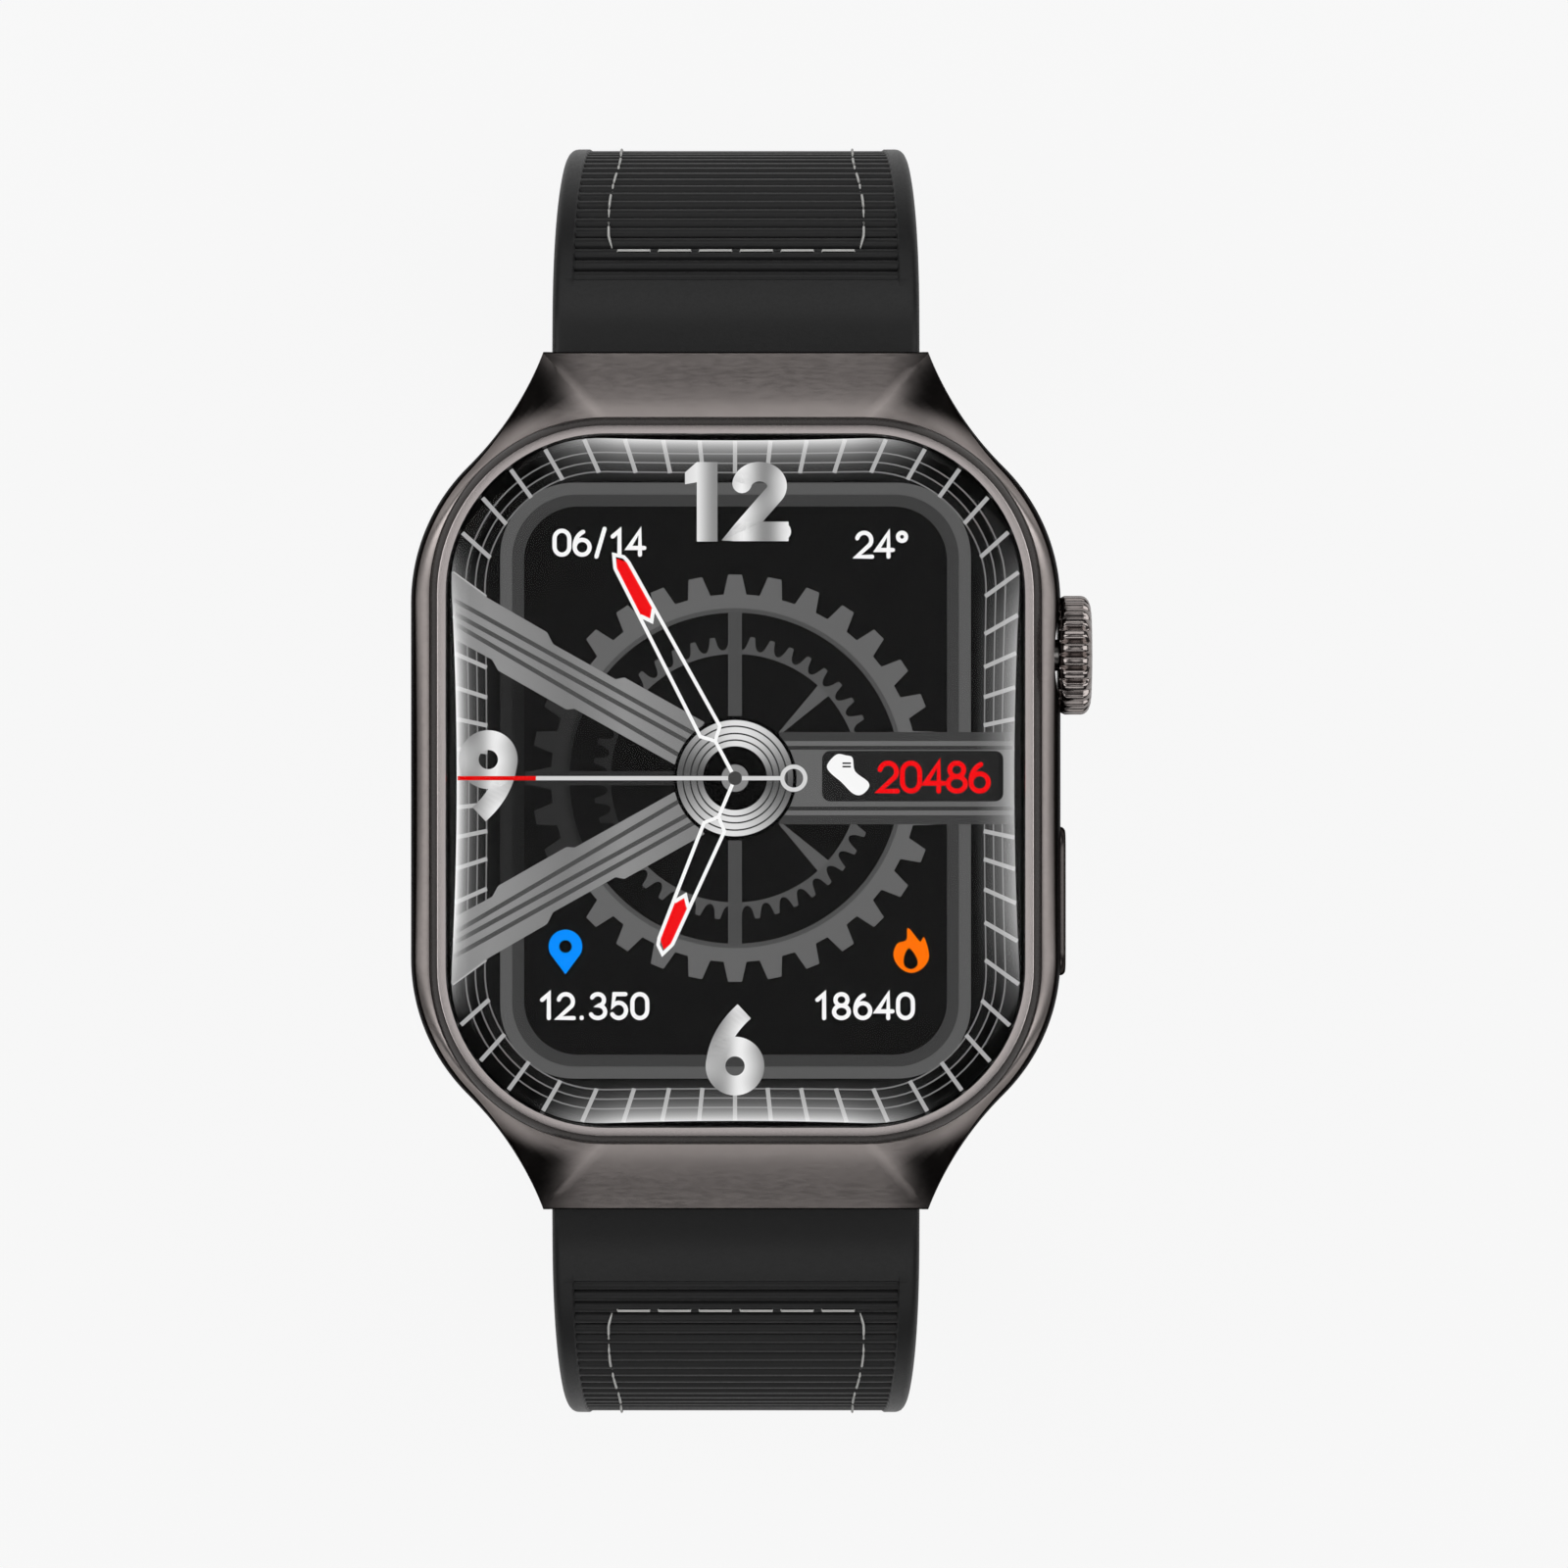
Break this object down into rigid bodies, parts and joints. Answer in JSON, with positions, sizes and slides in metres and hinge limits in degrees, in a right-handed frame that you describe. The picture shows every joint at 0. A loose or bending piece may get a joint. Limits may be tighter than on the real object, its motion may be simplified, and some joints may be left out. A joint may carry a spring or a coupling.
{
  "type": "smartwatch",
  "caption": "Square-faced smartwatch with a hooded metal case, lit display under domed glass, turning crown, side button and a two-part rubber strap with a pin buckle.",
  "frame": {"origin": "centre of the sensor window's outer flat face on the back of the case, where a charger sits", "axes": "+Z out of the display, +Y to 12 o'clock, +X to the crown side"},
  "size_m": [0.0407, 0.0786, 0.0635],
  "materials": {
    "case_metal": "bead-blasted, anodised gunmetal",
    "bezel_metal": "polished, anodised gunmetal",
    "steel": "machined",
    "spring_steel": "bright wire",
    "glass": "polished",
    "display": "lit panel",
    "rubber": "matt moulded",
    "seal": "moulded",
    "flex": "flexible circuit",
    "frame_plastic": "moulded",
    "cell_foil": "foil",
    "board": "circuit board",
    "can": "tinned",
    "weight": "sintered",
    "mesh": "woven",
    "gold": "gold plated",
    "back_shell": "ceramic",
    "window": "polished crystal",
    "led": "clear lens",
    "diode": "polished",
    "magnet": "nickel plated",
    "switch": "moulded",
    "white_plastic": "moulded"
  },
  "bodies": {
    "case": {"case_frame": "case_metal", "bezel_ring": "bezel_metal", "cover_glass": "glass", "glass_gasket": "seal", "display_panel": "display", "display_flex": "flex", "mid_frame": "frame_plastic", "battery": "cell_foil", "battery_pad": "seal", "battery_tab": "flex", "main_board": "board", "shield_cans": "can", "board_screws": "steel", "vibration_motor": "can", "speaker": "frame_plastic", "speaker_mesh": "mesh", "microphone": "gold", "back_cover": "back_shell", "back_gasket": "seal", "back_screws": "steel", "sensor_window": "window", "sensor_board": "board", "sensor_leds": "led", "photodiodes": "diode", "charging_contacts": "gold", "charging_magnets": "magnet", "crown_tube": "steel", "crown_bracket": "steel", "crown_switch": "switch", "encoder_sensor": "switch", "button_switch": "switch"},
    "motor_rotor": {"motor_weight": "weight"},
    "crown_slider": {"crown_plunger": "white_plastic"},
    "crown": {"crown_shaft": "steel", "crown_knob": "case_metal", "crown_seal": "seal", "crown_clip": "steel", "encoder_wheel": "white_plastic"},
    "button": {"side_button": "case_metal", "button_clips": "steel", "button_seals": "seal"},
    "strap_12_half": {"strap_12": "rubber", "spring_bar_12": "steel", "release_spring_12": "spring_steel", "fixed_keeper": "rubber"},
    "strap_6_half": {"strap_6": "rubber", "spring_bar_6": "steel", "release_spring_6": "spring_steel"},
    "quick_release_12": {"release_pin_12": "steel"},
    "quick_release_6": {"release_pin_6": "steel"},
    "loose_keeper": {"free_keeper": "rubber"},
    "buckle": {"buckle_frame": "case_metal", "buckle_bar": "steel"},
    "tongue": {"buckle_tongue": "case_metal"}
  },
  "joints": [
    {"name": "crown_press", "type": "slide", "parent": "case", "child": "crown_slider", "axis": [-1, 0, 0], "range_m": [0, 0.0004], "stiffness_N_per_m": 3000},
    {"name": "crown_spin", "type": "hinge", "parent": "crown_slider", "child": "crown", "pos_m": [0.0194, 0.0075, 0.00596], "axis": [1, 0, 0], "continuous": true},
    {"name": "button_press", "type": "slide", "parent": "case", "child": "button", "axis": [-1, 0, 0], "range_m": [0, 0.00025], "stiffness_N_per_m": 3000},
    {"name": "motor_spin", "type": "hinge", "parent": "case", "child": "motor_rotor", "pos_m": [0.0029, -0.0126, 0.0067], "axis": [1, 0, 0], "continuous": true},
    {"name": "strap_12_pivot", "type": "hinge", "parent": "case", "child": "strap_12_half", "pos_m": [0, 0.0242, 0.0045], "axis": [1, 0, 0], "range_deg": [0, 25]},
    {"name": "strap_6_pivot", "type": "hinge", "parent": "case", "child": "strap_6_half", "pos_m": [0, -0.0242, 0.0045], "axis": [-1, 0, 0], "range_deg": [0, 25]},
    {"name": "release_12", "type": "slide", "parent": "strap_12_half", "child": "quick_release_12", "axis": [-1, 0, 0], "range_m": [0, 0.001], "stiffness_N_per_m": 300, "deforming": ["release_spring_12"]},
    {"name": "release_6", "type": "slide", "parent": "strap_6_half", "child": "quick_release_6", "axis": [-1, 0, 0], "range_m": [0, 0.001], "stiffness_N_per_m": 300, "deforming": ["release_spring_6"]},
    {"name": "keeper_slide", "type": "hinge", "parent": "strap_12_half", "child": "loose_keeper", "pos_m": [0, 0.012, -0.02531], "axis": [1, 0, 0], "range_deg": [-3, 11]},
    {"name": "buckle_pivot", "type": "hinge", "parent": "strap_12_half", "child": "buckle", "pos_m": [0, 0.02443, -0.04757], "axis": [-1, 0, 0], "range_deg": [0, 45]},
    {"name": "tongue_pivot", "type": "hinge", "parent": "buckle", "child": "tongue", "pos_m": [0, 0.02443, -0.04757], "axis": [1, 0, 0], "range_deg": [0, 60]}
  ]
}
